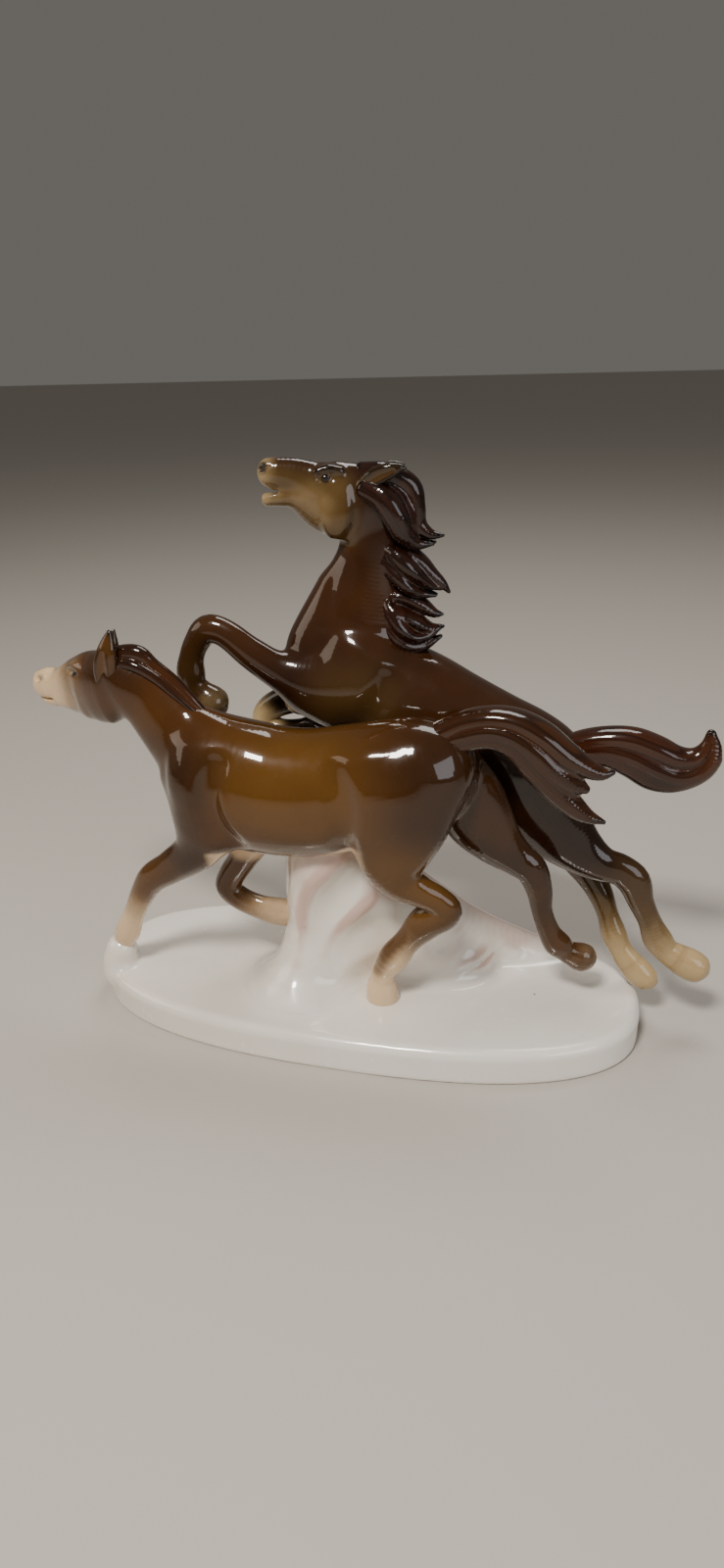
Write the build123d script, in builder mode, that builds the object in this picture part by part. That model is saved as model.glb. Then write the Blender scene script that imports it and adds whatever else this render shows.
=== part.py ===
from build123d import *
import os
from math import cos, sin, pi, copysign

# A porcelain group: a mare galloping in front of a leaping stallion, on an oval plinth.
# Millimetres, +Z up. The origin is the middle of the plinth's foot, at table level.
# The horses run towards -X. Each horse's left side faces -Y.

# ---- driving dimensions ----
plinth_length = 210
plinth_width = 88
plinth_height = 13.5
plinth_squareness = 2.44      # exponent of the oval: 2 is a true ellipse
plinth_outline_points = 32
plinth_rim_round = 3.5
foot_ring_width = 5
recess_depth = 9              # hollow under the plinth
stump_bore = 11               # radius of the hollow at the stump's foot
stump_x = -3                  # where the stump stands on the plinth
stump_y = 0
casting_wall = 3              # wall of the slip-cast bodies
vent_radius = 2               # air holes that let the bodies dry and fire
span_steps = 3                # oval-to-oval steps lofted at a time
mare_y = -16                  # the mare's middle plane
stallion_y = 17               # the stallion's middle plane

os.makedirs("parts", exist_ok=True)


def station_planes(stations):
    """One plane across the form at each station, facing along the form."""
    last = len(stations) - 1
    planes = []
    for index, station in enumerate(stations):
        ahead = Vector(stations[min(index + 1, last)][:3])
        behind = Vector(stations[max(index - 1, 0)][:3])
        planes.append(Plane(origin=station[:3], x_dir=(0, 1, 0), z_dir=ahead - behind))
    return planes


def loft_form(stations, inset=0, mode=Mode.ADD):
    """A rounded form through oval stations (x, y, z, half width, half depth).

    It is lofted in short spans, each starting on the oval that the last one ended on.
    """
    sections = []
    for plane, station in zip(station_planes(stations), stations):
        with BuildSketch(plane) as section:
            Ellipse(station[3] - inset, station[4] - inset)
        sections.append(section.sketch)
    for start in range(0, len(sections) - 1, span_steps):
        loft(sections[start:start + span_steps + 1], mode=mode)


def oval_outline(margin):
    """Points round the plinth's oval, drawn in by a margin."""
    half_length = plinth_length / 2 - margin
    half_width = plinth_width / 2 - margin
    power = 2 / plinth_squareness
    points = []
    for index in range(plinth_outline_points):
        turn = 2 * pi * index / plinth_outline_points
        across = copysign(abs(cos(turn)) ** power, cos(turn))
        along = copysign(abs(sin(turn)) ** power, sin(turn))
        points.append((half_length * across, half_width * along))
    return points


def keep(name, part):
    """Label a finished piece and write it."""
    part.label = name
    export_step(part, f"parts/{name}.step")


# ---- plinth: an oval slab, hollow underneath inside its foot ring ----
with BuildPart() as plinth:
    with BuildSketch(Plane.XY):
        with BuildLine():
            Spline(*oval_outline(0), periodic=True)
        make_face()
    extrude(amount=plinth_height)
    fillet(plinth.faces().sort_by(Axis.Z)[-1].edges(), radius=plinth_rim_round)
    with BuildSketch(Plane.XY):
        with BuildLine():
            Spline(*oval_outline(foot_ring_width), periodic=True)
        make_face()
    extrude(amount=recess_depth, mode=Mode.SUBTRACT)
    with BuildSketch(Plane.XY):
        with Locations((stump_x, stump_y)):
            Circle(vent_radius)
    extrude(amount=plinth_height, mode=Mode.SUBTRACT)
keep("plinth", plinth.part)

# ---- pad of slip under the mare's left fore hoof, lapping the plinth's rim ----
hoof_pad = [
    (-100.5, -10, 9, 5.5, 5.5),
    (-100.5, -10, 13.5, 5.8, 5.8),
    (-100.5, -10.5, 17, 4.8, 5),
    (-100.5, -11, 19, 3.5, 3.6),
]
with BuildPart() as plinth_block:
    with BuildSketch(Plane.XY):
        with BuildLine():
            Spline(*oval_outline(0), periodic=True)
        make_face()
    extrude(amount=plinth_height - plinth_rim_round)

with BuildPart() as forehoof_pad:
    loft_form(hoof_pad)
    add(plinth.part, mode=Mode.SUBTRACT)
    add(plinth_block.part, mode=Mode.SUBTRACT)
keep("forehoof_pad", forehoof_pad.part)

# ---- bodies: hollow castings, vented down into the stump ----
mare_body = [
    (-65, mare_y, 99, 6, 8),
    (-58, mare_y, 97, 12, 17),
    (-49, mare_y, 96.5, 16.5, 23.5),
    (-37, mare_y, 97, 18.5, 24),
    (-24, mare_y, 95.5, 19, 23.5),
    (-10, mare_y, 96, 18.5, 23),
    (4, mare_y, 100, 17, 21.5),
    (17, mare_y, 104, 17, 20),
    (27, mare_y, 107, 16, 18.5),
    (35, mare_y, 110, 12.5, 14),
    (40, mare_y, 111.5, 7, 8),
]
stallion_body = [
    (-23, stallion_y, 126.5, 5, 7),
    (-17, stallion_y, 127, 9, 13),
    (-9, stallion_y, 127, 12.5, 17),
    (3, stallion_y, 124.5, 15, 19.5),
    (17, stallion_y, 118.5, 16, 20.8),
    (31, stallion_y, 111, 16, 20.8),
    (45.5, stallion_y, 104.5, 15.5, 20),
    (58, stallion_y, 99.5, 15.5, 19),
    (68, stallion_y, 95.5, 13, 16),
    (75, stallion_y, 93.5, 7, 9),
]
mare_vent = Plane(origin=(-5, -8, 52), z_dir=(0, -6, 38))
mare_vent_length = 35
stallion_vent = Plane(origin=(-1, 4, 52), z_dir=(9, 11, 58))
stallion_vent_length = 66

with BuildPart() as mare_skin:
    loft_form(mare_body)

with BuildPart() as mare_torso:
    add(mare_skin.part)
    loft_form(mare_body[1:-1], inset=casting_wall, mode=Mode.SUBTRACT)
    with Locations(mare_vent):
        Cylinder(vent_radius, mare_vent_length, align=(Align.CENTER, Align.CENTER, Align.MIN),
                 mode=Mode.SUBTRACT)
keep("mare_torso", mare_torso.part)

with BuildPart() as stallion_skin:
    loft_form(stallion_body)

with BuildPart() as stallion_torso:
    add(stallion_skin.part)
    loft_form(stallion_body[1:-1], inset=casting_wall, mode=Mode.SUBTRACT)
    with Locations(stallion_vent):
        Cylinder(vent_radius, stallion_vent_length, align=(Align.CENTER, Align.CENTER, Align.MIN),
                 mode=Mode.SUBTRACT)
keep("stallion_torso", stallion_torso.part)

# ---- stump: a flared, hollow column that carries both bodies ----
stump_form = [
    (stump_x, stump_y, plinth_height, 28, 30),
    (stump_x, stump_y, 18, 23, 25),
    (-3, -1, 28, 19.5, 21.5),
    (-4, -1, 42, 18, 18.5),
    (-5, 0, 56, 17, 16),
    (-5, 3, 70, 16, 14.5),
    (-2, 9, 84, 13, 13),
    (3, 14, 97, 11, 12),
    (8, 17, 112, 9, 10),
]
stump_hollow = [
    (stump_x, stump_y, plinth_height, stump_bore, stump_bore),
    (stump_x, stump_y, 20, stump_bore, stump_bore),
    (-3, -1, 30, 12, 13),
    (-4, -1, 42, 10.5, 11.5),
    (-4, 0, 57, 9, 9),
]
with BuildPart() as support_stump:
    loft_form(stump_form)
    loft_form(stump_hollow, mode=Mode.SUBTRACT)
    with Locations(mare_vent):
        Cylinder(vent_radius, mare_vent_length, align=(Align.CENTER, Align.CENTER, Align.MIN),
                 mode=Mode.SUBTRACT)
    with Locations(stallion_vent):
        Cylinder(vent_radius, stallion_vent_length, align=(Align.CENTER, Align.CENTER, Align.MIN),
                 mode=Mode.SUBTRACT)
    add(plinth.part, mode=Mode.SUBTRACT)
    add(mare_skin.part, mode=Mode.SUBTRACT)
    add(stallion_skin.part, mode=Mode.SUBTRACT)
keep("support_stump", support_stump.part)

# ---- necks and heads, seated on the bodies ----
mare_neck = [
    (-46, mare_y, 102, 11, 17),
    (-54, mare_y, 110, 9.5, 15.5),
    (-61, mare_y, 117, 8, 13),
    (-68, mare_y, 125, 6.8, 11),
    (-74, mare_y, 131, 6.2, 9.5),
    (-79, mare_y, 135.5, 4.5, 6),
]
mare_face = [
    (-73, -18, 132.5, 4, 6),
    (-78, -16, 132, 6.2, 10.3),
    (-85, -12.5, 129.5, 6.8, 12.2),
    (-93, -8, 127.6, 6.4, 11.5),
    (-101, -3.5, 126, 5.6, 10),
    (-109, 1, 124.4, 5, 8.5),
    (-118, 5, 122, 4.6, 7.2),
    (-126.5, 8.5, 120, 3, 4.6),
]
with BuildPart() as mare_head_neck:
    loft_form(mare_neck)
    loft_form(mare_face)
    add(mare_skin.part, mode=Mode.SUBTRACT)
keep("mare_head_neck", mare_head_neck.part)

stallion_neck = [
    (-4, stallion_y, 127, 11.5, 19),
    (-4.5, stallion_y, 138, 10.5, 19),
    (-2.5, stallion_y, 148, 9.2, 17),
    (-0.5, stallion_y, 158, 8.2, 14.5),
    (2.5, stallion_y, 169.5, 7.2, 11.2),
    (3.5, stallion_y, 180, 6.8, 10),
    (3.5, stallion_y, 190, 6.4, 9),
]
stallion_face = [
    (13, 18.2, 193.5, 3.5, 5),
    (7, 17, 193, 5.8, 9),
    (0, 15.5, 191.5, 7, 11.8),
    (-8, 13.2, 191, 6.6, 11.6),
    (-17, 10.7, 194.8, 5.2, 8.4),
    (-25, 8.3, 198.2, 4.5, 6),
    (-31, 6.5, 199.4, 3.2, 4),
]
stallion_lower_jaw = [
    (-8, 13.5, 184.5, 4, 4.5),
    (-20, 10, 190, 3.2, 3.4),
    (-29, 7.5, 191.2, 2.4, 2.4),
]
with BuildPart() as stallion_head_neck:
    loft_form(stallion_neck)
    loft_form(stallion_face)
    loft_form(stallion_lower_jaw)
    add(stallion_skin.part, mode=Mode.SUBTRACT)
keep("stallion_head_neck", stallion_head_neck.part)

# ---- ears, pinched on at the poll ----
ears = {
    "mare_left_ear": [
        (-77.5, -19.5, 136, 2, 3),
        (-79.5, -20, 141, 2, 3.2),
        (-80.5, -19.5, 147, 0.7, 0.9),
    ],
    "mare_right_ear": [
        (-80, -11, 136, 2, 3),
        (-81.5, -9.5, 141, 2, 3.2),
        (-82.5, -8.5, 146, 0.7, 0.9),
    ],
    "stallion_left_ear": [
        (3, 12, 196, 2, 3),
        (9.5, 10.5, 197, 2, 3.3),
        (17.5, 10, 199, 0.7, 0.9),
    ],
    "stallion_right_ear": [
        (1, 20.5, 199, 2, 2.6),
        (6, 22, 201.5, 2, 2.8),
        (12.5, 23, 202.5, 0.7, 0.9),
    ],
}
horse_head = {"mare": mare_head_neck.part, "stallion": stallion_head_neck.part}
horse_skin = {"mare": mare_skin.part, "stallion": stallion_skin.part}
ear_parts = {}
for name, stations in ears.items():
    with BuildPart() as ear:
        loft_form(stations)
        add(horse_head[name.split("_")[0]], mode=Mode.SUBTRACT)
    ear_parts[name] = ear.part
    keep(name, ear.part)

# ---- manes: a clipped crest on the mare, three wind-blown locks on the stallion ----
manes = {
    "mare_mane": [
        (-77, mare_y, 141.5, 3, 3),
        (-71, mare_y, 140.5, 3.6, 4.2),
        (-63, mare_y, 134.5, 3.8, 4.2),
        (-56, mare_y, 127.5, 3.6, 4),
        (-50, mare_y, 120.5, 2.6, 2.8),
    ],
    "stallion_upper_mane": [
        (4, stallion_y, 198, 4, 4.5),
        (11, stallion_y, 195.5, 5.5, 6),
        (16.5, stallion_y, 187.5, 6, 7.5),
        (19, stallion_y, 181, 5, 5.5),
        (24, stallion_y, 177.8, 2.6, 2.6),
        (28.5, stallion_y, 177.5, 1, 1),
    ],
    "stallion_middle_mane": [
        (9, stallion_y, 171.5, 4, 5),
        (14, stallion_y, 171, 4.8, 6.2),
        (19, stallion_y, 165.5, 4.6, 5.5),
        (24.5, stallion_y, 161, 3, 3),
        (30, stallion_y, 158.7, 1, 1),
    ],
    "stallion_lower_mane": [
        (9, stallion_y, 156, 4.6, 7),
        (14, stallion_y, 152, 5.4, 9.5),
        (20, stallion_y, 147.5, 4.8, 7.5),
        (25, stallion_y, 148, 2.8, 3.6),
        (28.5, stallion_y, 150, 1, 1),
    ],
}
mane_parts = []
for name, stations in manes.items():
    horse = name.split("_")[0]
    with BuildPart() as mane:
        loft_form(stations)
        add(horse_head[horse], mode=Mode.SUBTRACT)
        add(horse_skin[horse], mode=Mode.SUBTRACT)
        for neighbour in [*ear_parts.values(), *mane_parts]:
            add(neighbour, mode=Mode.SUBTRACT)
    mane_parts.append(mane.part)
    keep(name, mane.part)

# ---- legs, each cast apart and seated on its body; hooves meet the plinth or the stump ----
legs = {
    "mare_left_foreleg": [
        (-44, -21, 90, 8, 11),
        (-50, -24, 79, 7, 9),
        (-55, -24, 71.5, 5.5, 6.6),
        (-65, -22.5, 65, 4.4, 5),
        (-76.5, -20, 56.5, 4.4, 4.6),
        (-83, -18, 46, 3.4, 3.9),
        (-89.5, -16, 34.5, 3.4, 3.9),
        (-93, -14.5, 27, 3.7, 4),
        (-98, -12.5, 19.5, 4.6, 4.8),
        (-101.5, -11.5, 13, 5, 4.4),
    ],
    "mare_right_foreleg": [
        (-42, -10, 82, 6, 8),
        (-39, -8, 70, 5.4, 6.8),
        (-43, -7, 61, 4.6, 5.4),
        (-50, -6.5, 52.5, 4.2, 4.4),
        (-50, -6.5, 45.5, 4, 4),
        (-41, -6.5, 41.5, 3.6, 3.8),
        (-30.5, -6.5, 40, 3.6, 3.8),
        (-20, -6.5, 40.5, 3.8, 4),
    ],
    "mare_left_hindleg": [
        (24, -21, 106, 8.5, 14),
        (21, -23.5, 94, 9.5, 14),
        (18, -25.5, 83.5, 7.8, 10.5),
        (22, -25.5, 73.5, 5.8, 7.2),
        (30, -24, 65.5, 4.8, 5.4),
        (36, -22.5, 59.5, 4.3, 4.8),
        (33, -21.5, 52, 4, 4.6),
        (25, -20, 43, 3.6, 4.2),
        (16.5, -18, 31.5, 3.7, 4.1),
        (13, -16.5, 22, 4.4, 4.7),
        (12, -15.5, 13, 5, 5.2),
    ],
    "mare_right_hindleg": [
        (32, -10, 106, 7, 11),
        (40, -8.5, 96, 7, 11),
        (45.5, -8, 84, 6.2, 9.6),
        (55, -7.5, 75, 5, 6.4),
        (62.5, -7, 68.5, 4.3, 4.9),
        (66, -6.5, 61, 3.8, 4.2),
        (67.5, -5.5, 52.5, 3.4, 3.8),
        (71, -4.5, 42, 3.5, 3.9),
        (76, -3, 35.5, 4.2, 4.4),
        (84, -1, 29.5, 4.8, 4),
    ],
    "stallion_left_foreleg": [
        (-6, 9, 123, 7, 11),
        (-16, 7, 126.5, 6, 9.5),
        (-26, 6, 130.5, 5, 6.8),
        (-38, 5.5, 138, 4.2, 5.2),
        (-49, 5.5, 146, 4, 4.7),
        (-56.5, 5.5, 143.5, 3.9, 4.2),
        (-59.5, 5.5, 136, 3.6, 4.2),
        (-62, 5.5, 128, 3.5, 3.9),
        (-58.5, 6, 121.5, 3.9, 4.2),
        (-52, 6.5, 118, 4.2, 4.2),
    ],
    "stallion_right_foreleg": [
        (-8, 24, 121, 7, 10),
        (-20, 26.5, 118, 6, 8),
        (-33, 27, 113.5, 4.8, 5.6),
        (-42, 27, 107, 4.4, 4.6),
        (-37, 26.2, 101, 3.8, 4),
        (-27.5, 25.8, 101, 3.6, 3.8),
        (-20, 25.4, 100.5, 3.9, 4.1),
        (-15.5, 25, 94.6, 4.4, 4.4),
    ],
    "stallion_left_hindleg": [
        (58, 9, 96, 7.5, 12),
        (63, 8.5, 88, 7.8, 13),
        (71, 8, 77.5, 7, 10.5),
        (78, 8, 70.5, 6, 8),
        (86.5, 7.5, 66, 5, 5.8),
        (95.5, 7.5, 64.5, 4.5, 5),
        (100.5, 7.5, 58.5, 4.1, 4.7),
        (103, 7.5, 50.5, 3.5, 4.1),
        (106.5, 7.5, 42, 3.5, 3.9),
        (111, 8, 34, 3.9, 4.4),
        (117, 8, 29, 4.6, 4.8),
        (126.95, 8, 26.2, 4.4, 3.6),
    ],
    "stallion_right_hindleg": [
        (60, 24.5, 94, 6.5, 11),
        (65.5, 24.5, 81, 6.5, 11.5),
        (72, 23, 70, 5.8, 9),
        (78, 20.5, 61.5, 5, 6.8),
        (84, 18, 54, 4.3, 4.9),
        (87.5, 16.5, 48.5, 3.8, 4.2),
        (91, 14.5, 42, 3.5, 3.9),
        (97, 12.5, 31, 3.9, 4.3),
        (102, 11.5, 23.5, 4.6, 4.6),
        (108, 11, 16.5, 4.6, 4),
    ],
}
seats = [*horse_skin.values(), *horse_head.values(), support_stump.part, plinth.part, forehoof_pad.part]
for name, stations in legs.items():
    with BuildPart() as leg:
        loft_form(stations)
        for seat in seats:
            add(seat, mode=Mode.SUBTRACT)
    keep(name, leg.part)

# ---- tails, streaming behind ----
tails = {
    "mare_tail": [
        (32, mare_y, 117, 4.6, 5),
        (40, mare_y, 122.5, 4.8, 4.6),
        (47.5, mare_y, 124.6, 5.4, 5),
        (56, mare_y, 124, 6.2, 5.8),
        (65, mare_y, 118.5, 7, 7.4),
        (75, mare_y, 110.5, 7, 8),
        (82, mare_y, 104.5, 5.5, 7),
        (87, mare_y, 99.5, 3, 4),
    ],
    "stallion_tail": [
        (69, stallion_y, 101, 5, 5),
        (77, stallion_y, 106.5, 4.7, 4.8),
        (86.5, stallion_y, 106.4, 4.6, 5),
        (96, stallion_y, 104, 5.2, 7),
        (106, stallion_y, 99.5, 5.2, 7),
        (115, stallion_y, 100, 4.6, 5.6),
        (121, stallion_y, 104, 3.5, 3.8),
        (121.5, stallion_y, 109.5, 2.5, 2.6),
        (119, stallion_y, 113.5, 1.2, 1.2),
    ],
}
for name, stations in tails.items():
    with BuildPart() as tail:
        loft_form(stations)
        add(horse_skin[name.split("_")[0]], mode=Mode.SUBTRACT)
    keep(name, tail.part)
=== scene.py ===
import math
import bpy
import bmesh
import numpy as np
import openvdb
from mathutils import Matrix, Vector


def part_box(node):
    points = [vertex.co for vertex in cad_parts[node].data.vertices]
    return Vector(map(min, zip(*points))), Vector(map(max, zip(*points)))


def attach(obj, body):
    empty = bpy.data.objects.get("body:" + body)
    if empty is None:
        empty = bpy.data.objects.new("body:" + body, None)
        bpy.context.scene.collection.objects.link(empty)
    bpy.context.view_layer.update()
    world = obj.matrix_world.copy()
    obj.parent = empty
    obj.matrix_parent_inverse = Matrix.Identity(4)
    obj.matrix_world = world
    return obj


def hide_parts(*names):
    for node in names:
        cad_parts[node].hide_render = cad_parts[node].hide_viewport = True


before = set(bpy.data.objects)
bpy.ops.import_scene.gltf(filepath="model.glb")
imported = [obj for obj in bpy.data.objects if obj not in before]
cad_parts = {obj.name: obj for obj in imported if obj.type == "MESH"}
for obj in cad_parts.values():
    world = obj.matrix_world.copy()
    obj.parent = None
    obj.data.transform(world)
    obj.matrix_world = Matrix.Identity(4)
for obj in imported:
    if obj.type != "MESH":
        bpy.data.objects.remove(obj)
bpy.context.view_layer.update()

# The horses are modelled in millimetres as one clay body each, a signed distance field built
# from oval forms along the bones and muscles, and then cut at the seats where the porcelain
# castings are luted together. The horses run towards -X, and their left sides face -Y.

MM = 0.001
FAR = 40.0                                  # distance that stands for "no clay near"
VOXEL = 0.5          # grid step of the horses' clay, mm
LOCK_VOXEL = VOXEL * 0.8                    # finer, for hair and ears
BASE_VOXEL = 0.75    # coarser, for the smooth white base
STEP = 1.6                                  # spacing of the sections along a form, mm
MARE_Y = -16.0                              # middle plane of each horse
STALLION_Y = 17.0
PLINTH_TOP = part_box("plinth")[1].z / MM
SIDEWAYS = np.array((0.0, 1.0, 0.0))        # the direction in which a form's half width is measured


# ---------------- clay

def smooth_curve(stations):
    """Stations (x, y, z, half width, half depth) joined by a smooth curve, sampled every STEP mm."""
    points = np.array(stations, float)
    rows = []
    last = len(points) - 1
    for index in range(last):
        before = points[max(index - 1, 0)]
        start = points[index]
        end = points[index + 1]
        after = points[min(index + 2, last)]
        length = np.linalg.norm(end[:3] - start[:3])
        count = max(int(math.ceil(length / STEP)), 1)
        reach_start = np.linalg.norm(end[:3] - before[:3]) or 1.0
        reach_end = np.linalg.norm(after[:3] - start[:3]) or 1.0
        slope_start = (end - before) * (length / reach_start)
        slope_end = (after - start) * (length / reach_end)
        for step in range(count):
            t = step / count
            rows.append((2 * t**3 - 3 * t**2 + 1) * start + (t**3 - 2 * t**2 + t) * slope_start
                        + (3 * t**2 - 2 * t**3) * end + (t**3 - t**2) * slope_end)
    rows.append(points[last])
    return np.array(rows)


class Clay:
    """A signed distance field on a grid, negative inside."""

    def __init__(self, low, high, voxel):
        self.low = np.array(low, float)
        self.voxel = voxel
        counts = np.ceil((np.array(high, float) - self.low) / voxel).astype(int) + 1
        self.field = np.full(counts, FAR, np.float32)

    def window(self, low, high, within=None):
        """The slices of a box of the grid, and its coordinates."""
        least = [s.start for s in within] if within else (0, 0, 0)
        most = [s.stop for s in within] if within else self.field.shape
        first = np.floor((np.asarray(low) - self.low) / self.voxel).astype(int)
        final = np.ceil((np.asarray(high) - self.low) / self.voxel).astype(int) + 1
        first = np.clip(first, least, most)
        final = np.clip(final, least, most)
        axes = [(self.low[i] + self.voxel * np.arange(first[i], final[i])).astype(np.float32)
                for i in range(3)]
        slices = tuple(slice(a, b) for a, b in zip(first, final))
        return slices, np.meshgrid(*axes, indexing="ij", sparse=True)

    def chain(self, samples, margin):
        """Distance to a form given by its sections, and the slices that it covers."""
        reach = samples[:, 3:5].max(1)[:, None] + margin
        slices, _ = self.window((samples[:, :3] - reach).min(0), (samples[:, :3] + reach).max(0))
        offset = [s.start for s in slices]
        shape = [s.stop - s.start for s in slices]
        distance = np.full(shape, FAR, np.float32)
        for a, b in zip(samples[:-1], samples[1:]):
            along = b[:3] - a[:3]
            length = np.linalg.norm(along)
            if length < 1e-6:
                continue
            along = along / length
            side = SIDEWAYS - SIDEWAYS.dot(along) * along
            side = side / np.linalg.norm(side)
            depth = np.cross(along, side)
            big = max(a[3], a[4], b[3], b[4]) + margin
            inner, (x, y, z) = self.window(np.minimum(a[:3], b[:3]) - big,
                                           np.maximum(a[:3], b[:3]) + big, slices)
            if min(s.stop - s.start for s in inner) <= 0:
                continue
            x = x - a[0]
            y = y - a[1]
            z = z - a[2]
            run = x * along[0] + y * along[1] + z * along[2]
            t = np.clip(run / length, 0, 1)
            wide = a[3] + t * (b[3] - a[3])
            deep = a[4] + t * (b[4] - a[4])
            beyond = run - t * length
            across = x * side[0] + y * side[1] + z * side[2]
            over = x * depth[0] + y * depth[1] + z * depth[2]
            cap = np.minimum(wide, deep)
            k0 = np.sqrt((across / wide)**2 + (over / deep)**2 + (beyond / cap)**2)
            k1 = np.sqrt((across / wide**2)**2 + (over / deep**2)**2 + (beyond / cap**2)**2)
            value = k0 * (k0 - 1) / np.maximum(k1, 1e-6)
            local = tuple(slice(s.start - o, s.stop - o) for s, o in zip(inner, offset))
            distance[local] = np.minimum(distance[local], value)
        return slices, distance

    def add(self, stations, blend=2.0):
        """Join a form to the clay, with a fillet of about the blend's size."""
        slices, distance = self.chain(smooth_curve(stations), blend + 2 * self.voxel)
        here = self.field[slices]
        h = np.clip(0.5 + 0.5 * (here - distance) / blend, 0, 1)
        self.field[slices] = here * (1 - h) + distance * h - blend * h * (1 - h)

    def carve(self, stations, blend=0.6):
        """Cut a form out of the clay, with rounded lips."""
        slices, distance = self.chain(smooth_curve(stations), blend + 2 * self.voxel)
        here = self.field[slices]
        h = np.clip(0.5 - 0.5 * (here + distance) / blend, 0, 1)
        self.field[slices] = here * (1 - h) - distance * h + blend * h * (1 - h)

    def mesh(self, name):
        """The clay's surface as a closed Blender mesh, in metres."""
        band = 3 * self.voxel
        grid = openvdb.FloatGrid(background=band)
        grid.copyFromArray(np.clip(self.field, -band, band))
        points, quads = grid.convertToQuads(isovalue=0.0)
        points = (points * self.voxel + self.low) * MM
        mesh = bpy.data.meshes.new(name)
        mesh.from_pydata(points.tolist(), [], quads[:, ::-1].tolist())
        return mesh


# ---------------- the mare

MARE_LEGS = {
    "mare_left_foreleg": [
        (-46, -22, 92, 8, 12), (-49, -24, 82, 7.6, 10.5), (-53, -24.4, 74, 6, 8.2),
        (-64, -22.8, 65, 4.8, 6.4), (-73.5, -21, 58, 4.6, 5.7), (-79, -19.8, 50.5, 3.8, 4.8),
        (-85.3, -18, 39, 3.3, 4.2), (-90, -16.4, 29.8, 3.9, 5), (-93.2, -15.2, 24, 3.4, 4.1),
        (-95.4, -14.2, 20.6, 4, 4.5), (-98, -12.5, 17, 4.8, 4.8),
    ],
    "mare_right_foreleg": [
        (-42, -10, 84, 7, 9), (-38.5, -8, 72, 5.6, 7.4), (-42.8, -7, 62.5, 4.8, 5.6),
        (-48.5, -6.5, 53.5, 4.5, 5.2), (-50, -6.5, 48.5, 4.4, 5), (-46, -6.5, 44.3, 4, 4.8),
        (-38.5, -6.5, 41.2, 3.7, 5), (-31, -6.5, 39.8, 4.2, 5.8), (-22, -6.5, 40, 4.2, 5.4),
    ],
    "mare_left_hindleg": [
        (24, -21, 108, 9, 17), (22, -23.5, 95, 10, 17), (19.5, -25.2, 85, 8.5, 14.5),
        (18.8, -25.5, 77, 7, 11.5), (21.5, -25.2, 70.5, 5.6, 8.2), (27.5, -24.4, 66.3, 4.6, 6),
        (34, -23, 62.3, 4.1, 5.3), (36.8, -22.3, 58, 4.1, 5.6), (30, -21.5, 52.4, 4.2, 6.4),
        (22.6, -19.8, 42.5, 3.7, 4.9), (17, -18.6, 33.6, 4.1, 5.6), (13.4, -17.6, 27, 3.5, 4.3),
        (12.2, -16.9, 22.4, 3.9, 4.6), (11.8, -16.4, 18, 5.2, 5.8), (12, -16, 14, 5.8, 6.2),
    ],
    "mare_right_hindleg": [
        (33, -10, 107, 7, 12), (40, -8.5, 97, 7.2, 13), (46, -8, 86, 6.6, 12),
        (52.5, -7.5, 78, 5.6, 9), (59, -7, 72.5, 4.6, 6.6), (63.7, -6.8, 68.8, 4.3, 5.8),
        (66.8, -6, 60.5, 3.7, 4.7), (68.2, -5.3, 51.5, 3.2, 3.8), (71, -4.5, 43, 3.3, 4.1),
        (74.2, -3.6, 37.4, 3.9, 5.1), (77, -2.6, 34.2, 3.4, 4.3), (80, -1.6, 32.4, 4.1, 4.9),
        (83.2, -0.7, 30.8, 4.7, 5.6), (84.8, -0.3, 30, 3.4, 4),
    ],
}


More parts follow.
